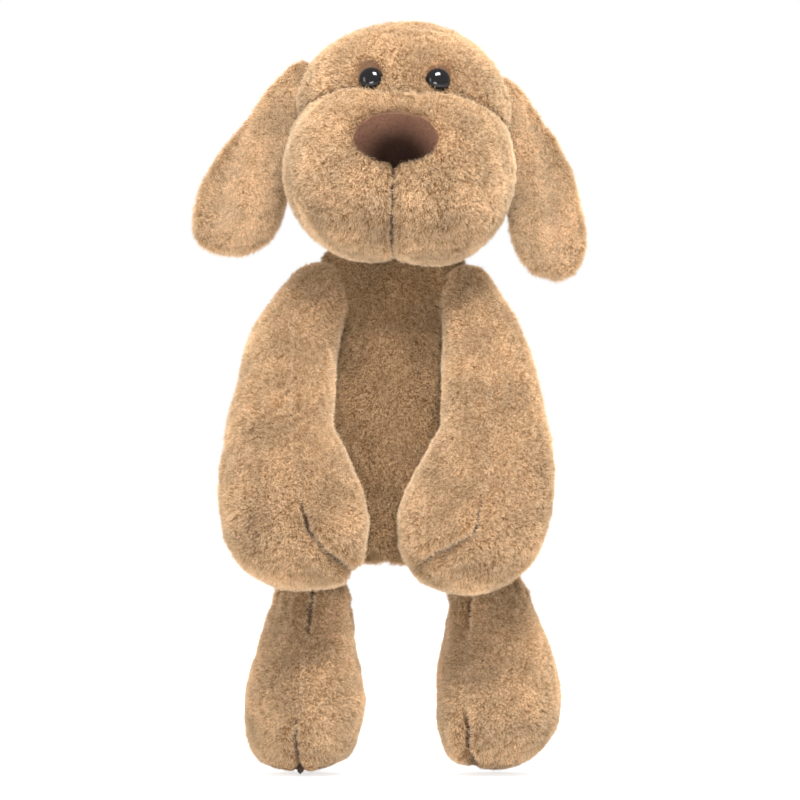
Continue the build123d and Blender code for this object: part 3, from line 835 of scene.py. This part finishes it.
# ------------------------------------------------------------------ which body carries what
HEAD_NODES = ["crown_cover", "head_back_cover", "muzzle_cover_left", "muzzle_cover_right",
              "head_stuffing", "eye_washer_left", "eye_washer_right"]
TORSO_NODES = ["torso_cover_left", "torso_cover_right", "seat_panel", "seat_pellet_bag",
               "torso_stuffing", "neck_stitching"]
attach(pieces["head"], "head")
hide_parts(*HEAD_NODES)
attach(pieces["torso"], "torso")
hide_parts(*TORSO_NODES)
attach(pieces["nose"], "head")
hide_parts("nose_cover", "nose_padding")
for side in ("left", "right"):
    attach(pieces["eye_" + side], "head")
    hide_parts("eye_" + side)
    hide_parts("arm_outer_cover_" + side, "arm_inner_cover_" + side,
                "arm_stuffing_" + side, "paw_pellet_bag_" + side)
    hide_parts("leg_outer_cover_" + side, "leg_inner_cover_" + side,
                "leg_stuffing_" + side, "foot_pellet_bag_" + side)
    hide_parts("ear_front_cover_" + side, "ear_back_cover_" + side,
                "ear_padding_" + side)
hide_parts("tail_cover_left", "tail_cover_right", "tail_stuffing")


def bend(name):
    """Bakes the piece's placement into its mesh."""
    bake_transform(pieces[name])


bend("arm_left")
bend("arm_right")
bend("leg_left")
bend("leg_right")
bend("ear_left")
bend("ear_right")
bend("tail")

# ------------------------------------------------------------------ room, lights, camera
bpy.ops.mesh.primitive_plane_add(size=30, location=(0, 0, -0.0005))
floor = bpy.context.object
floor.name = "floor"
white, floor_nodes, floor_links, floor_shader = new_material("white_floor")
floor_shader.inputs["Base Color"].default_value = (0.88, 0.88, 0.88, 1)
floor_shader.inputs["Roughness"].default_value = 0.9
floor_shader.inputs["Emission Color"].default_value = (1, 1, 1, 1)
floor_seen = floor_nodes.new("ShaderNodeLightPath")
floor_glow = floor_nodes.new("ShaderNodeMapRange")
floor_glow.inputs["To Max"].default_value = 0.70
floor_links.new(floor_seen.outputs["Is Camera Ray"], floor_glow.inputs["Value"])
floor_links.new(floor_glow.outputs[0], floor_shader.inputs["Emission Strength"])
floor.data.materials.append(white)

# The surroundings are white to the camera, and light the dog with half of that.
world = bpy.data.worlds.new("studio")
bpy.context.scene.world = world
world.use_nodes = True
sky, sky_links = world.node_tree.nodes, world.node_tree.links
backdrop = sky["Background"]
backdrop.inputs["Color"].default_value = (1.0, 1.0, 1.0, 1)
backdrop.inputs["Strength"].default_value = 1.0
surround = sky.new("ShaderNodeBackground")
surround.inputs["Color"].default_value = (1.0, 1.0, 1.0, 1)
surround.inputs["Strength"].default_value = 0.50
seen = sky.new("ShaderNodeLightPath")
choose = sky.new("ShaderNodeMixShader")
sky_links.new(seen.outputs["Is Camera Ray"], choose.inputs[0])
sky_links.new(surround.outputs[0], choose.inputs[1])
sky_links.new(backdrop.outputs[0], choose.inputs[2])
sky_links.new(choose.outputs[0], sky["World Output"].inputs["Surface"])


def softbox(name, at, aim, size, power):
    data = bpy.data.lights.new(name, "AREA")
    data.shape = "RECTANGLE"
    data.size, data.size_y = size
    data.energy = power
    ob = bpy.data.objects.new(name, data)
    bpy.context.scene.collection.objects.link(ob)
    ob.location = at
    ob.rotation_euler = (Vector(aim) - Vector(at)).to_track_quat("-Z", "Y").to_euler()


softbox("key", (0.30, -1.00, 1.60), (0, 0, 0.28), (0.6, 0.5), 42)
softbox("side", (-1.2, -1.0, 0.7), (0, 0, 0.2), (0.5, 0.7), 4)
softbox("low", (-0.25, -2.1, 0.25), (0.0, 0, 0.12), (0.8, 0.4), 11)
softbox("rim", (0.0, 1.3, 1.3), (0, 0, 0.25), (1.2, 0.6), 12)

camera_data = bpy.data.cameras.new("camera")
camera = bpy.data.objects.new("camera", camera_data)
bpy.context.scene.collection.objects.link(camera)
camera.location = to_frame((EYE_SIDE, -REACH, EYE_LEVEL))
camera.rotation_euler = (math.radians(90), 0, 0)
camera_data.sensor_width = SENSOR
camera_data.lens = SENSOR * REACH / VIEW_WIDTH
bpy.context.scene.camera = camera
bpy.context.scene.view_settings.view_transform = "Standard"
